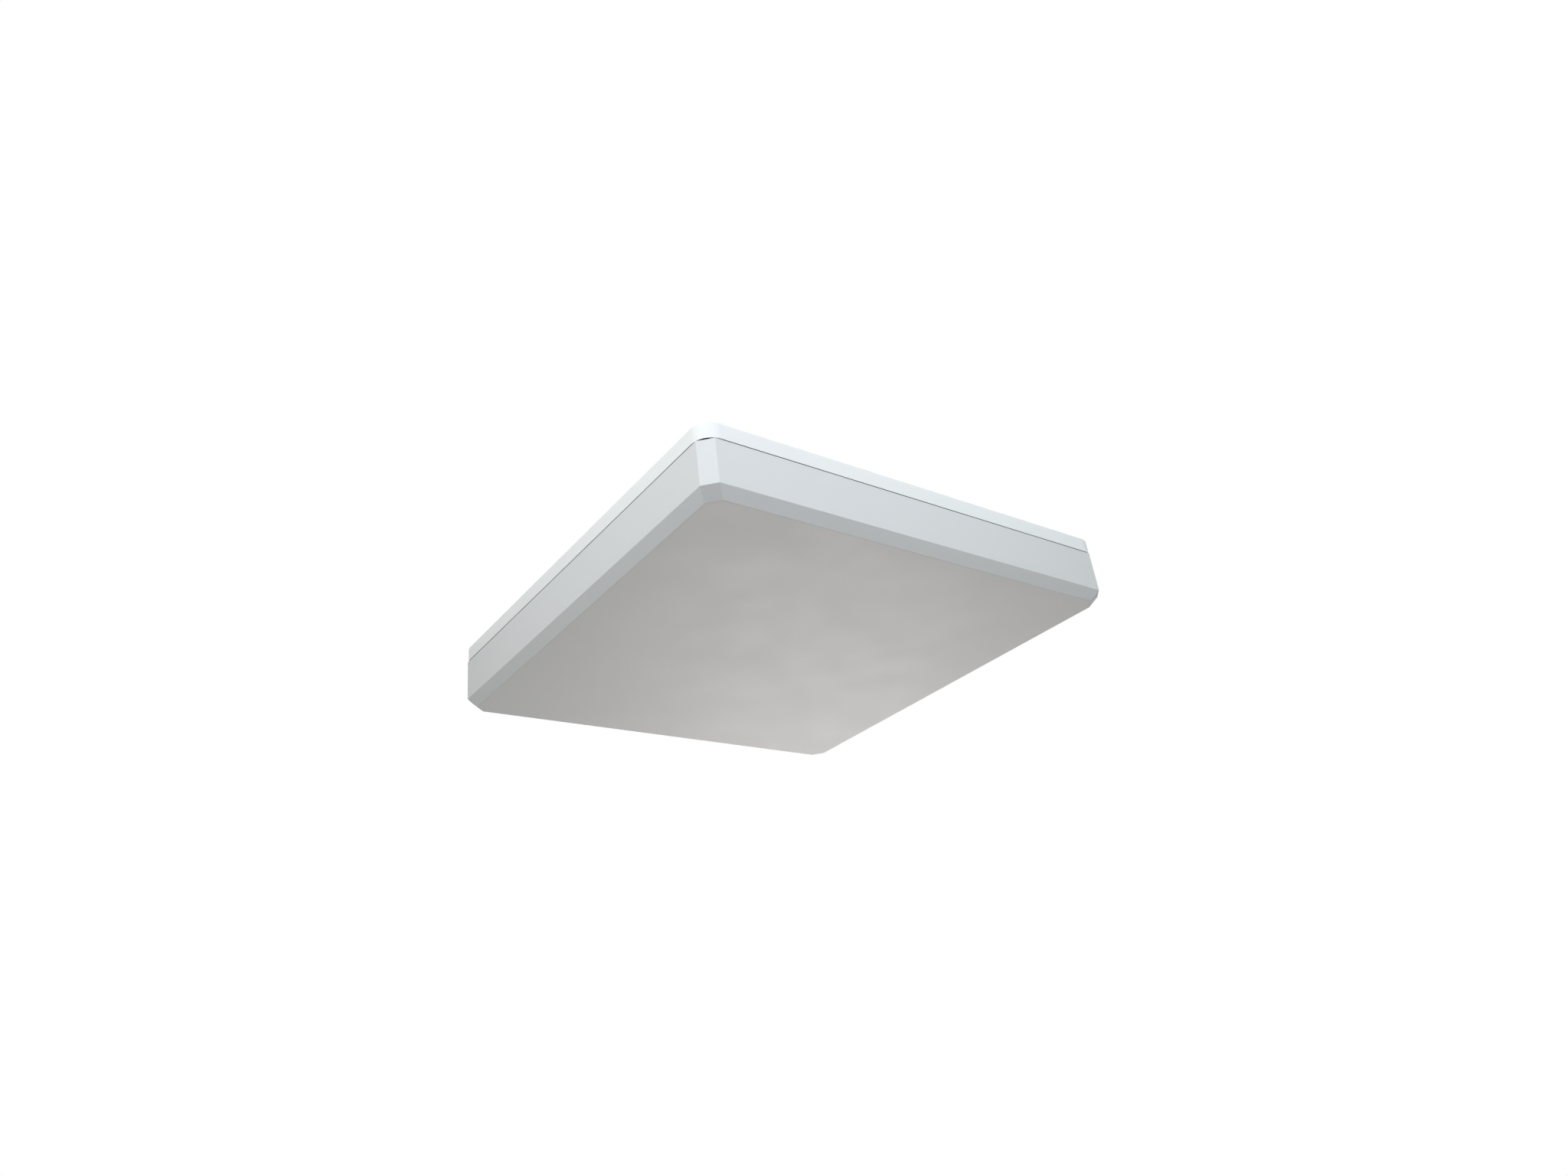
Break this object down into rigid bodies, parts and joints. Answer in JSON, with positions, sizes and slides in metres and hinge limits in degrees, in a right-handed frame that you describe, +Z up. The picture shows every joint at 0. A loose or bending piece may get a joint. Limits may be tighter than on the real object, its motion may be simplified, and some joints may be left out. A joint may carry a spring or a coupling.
{
  "type": "ceiling access point",
  "caption": "Square ceiling access point: pull-off front cover with flat-cut corners on a cast base that slides onto a keyhole bracket.",
  "frame": {"origin": "centre of the bracket's four screw holes, on the ceiling plane", "axes": "+Z up into the ceiling, +Y the way the ports face and the housing slides to come off the bracket, +X completes the set"},
  "size_m": [0.22, 0.22, 0.0328],
  "materials": {
    "white_casting": "satin",
    "white_cover": "matte",
    "black_gasket": "matte",
    "zinc_sheet": "satin",
    "zinc_stud": "satin",
    "plate_steel": "satin",
    "rivet_steel": "satin",
    "spring_steel": "satin",
    "screw_steel": "satin",
    "tin_shell": "satin",
    "antenna_sheet": "satin",
    "foot_rubber": "matte",
    "grommet_rubber": "matte",
    "label_film": "satin",
    "light_guide": "gloss",
    "port_plastic": "satin",
    "contact_gold": "satin",
    "chip_plastic": "matte",
    "board_laminate": "satin",
    "thermal_pad": "matte",
    "capacitor_can": "satin",
    "ferrite": "matte",
    "winding_tape": "satin",
    "button_plastic": "matte"
  },
  "bodies": {
    "bracket": {"ceiling_bracket": "zinc_sheet", "latch_spring": "spring_steel", "latch_rivets": "rivet_steel"},
    "housing": {"rear_base": "white_casting", "perimeter_seal": "black_gasket", "bracket_studs": "zinc_stud", "rubber_feet": "foot_rubber", "cable_grommet": "grommet_rubber", "security_slot_plate": "plate_steel", "rating_label": "label_film", "cover_clips": "spring_steel", "clip_screws": "screw_steel", "ethernet_jack_shell_1": "tin_shell", "ethernet_jack_shell_2": "tin_shell", "ethernet_jack_insert_1": "port_plastic", "ethernet_jack_insert_2": "port_plastic", "ethernet_jack_contacts_1": "contact_gold", "ethernet_jack_contacts_2": "contact_gold", "port_lights": "light_guide", "usb_port_shell": "tin_shell", "usb_port_tongue": "port_plastic", "power_jack": "port_plastic", "power_jack_pin": "contact_gold", "reset_switch": "chip_plastic", "main_board": "board_laminate", "board_screws": "screw_steel", "processor": "chip_plastic", "heat_pad": "thermal_pad", "memory_chip_1": "chip_plastic", "memory_chip_2": "chip_plastic", "flash_chip": "chip_plastic", "ethernet_controller_1": "chip_plastic", "ethernet_controller_2": "chip_plastic", "lan_transformer_1": "chip_plastic", "lan_transformer_2": "chip_plastic", "bulk_capacitors": "capacitor_can", "small_capacitors": "capacitor_can", "power_inductor_1": "ferrite", "power_inductor_2": "ferrite", "power_transformer_core": "ferrite", "power_transformer_bobbin": "winding_tape", "radio_chip_1": "chip_plastic", "radio_chip_2": "chip_plastic", "radio_shield_1": "tin_shell", "radio_shield_2": "tin_shell", "wifi_antenna_1": "antenna_sheet", "wifi_antenna_2": "antenna_sheet", "wifi_antenna_3": "antenna_sheet", "wifi_antenna_4": "antenna_sheet", "scan_antenna": "antenna_sheet", "status_light": "light_guide"},
    "cover": {"front_cover": "white_cover", "light_pipe": "light_guide"},
    "reset": {"reset_button": "button_plastic", "reset_plunger": "button_plastic"}
  },
  "joints": [
    {"name": "housing_slide", "type": "slide", "parent": "bracket", "child": "housing", "axis": [0, 1, 0], "range_m": [0, 0.012], "deforming": ["latch_spring"]},
    {"name": "cover_pull", "type": "slide", "parent": "housing", "child": "cover", "axis": [0, 0, -1], "range_m": [0, 0.045], "deforming": ["cover_clips"]},
    {"name": "reset_press", "type": "slide", "parent": "housing", "child": "reset", "axis": [0, -1, 0], "range_m": [0, 0.001], "stiffness_N_per_m": 800, "springref_m": -0.001}
  ]
}
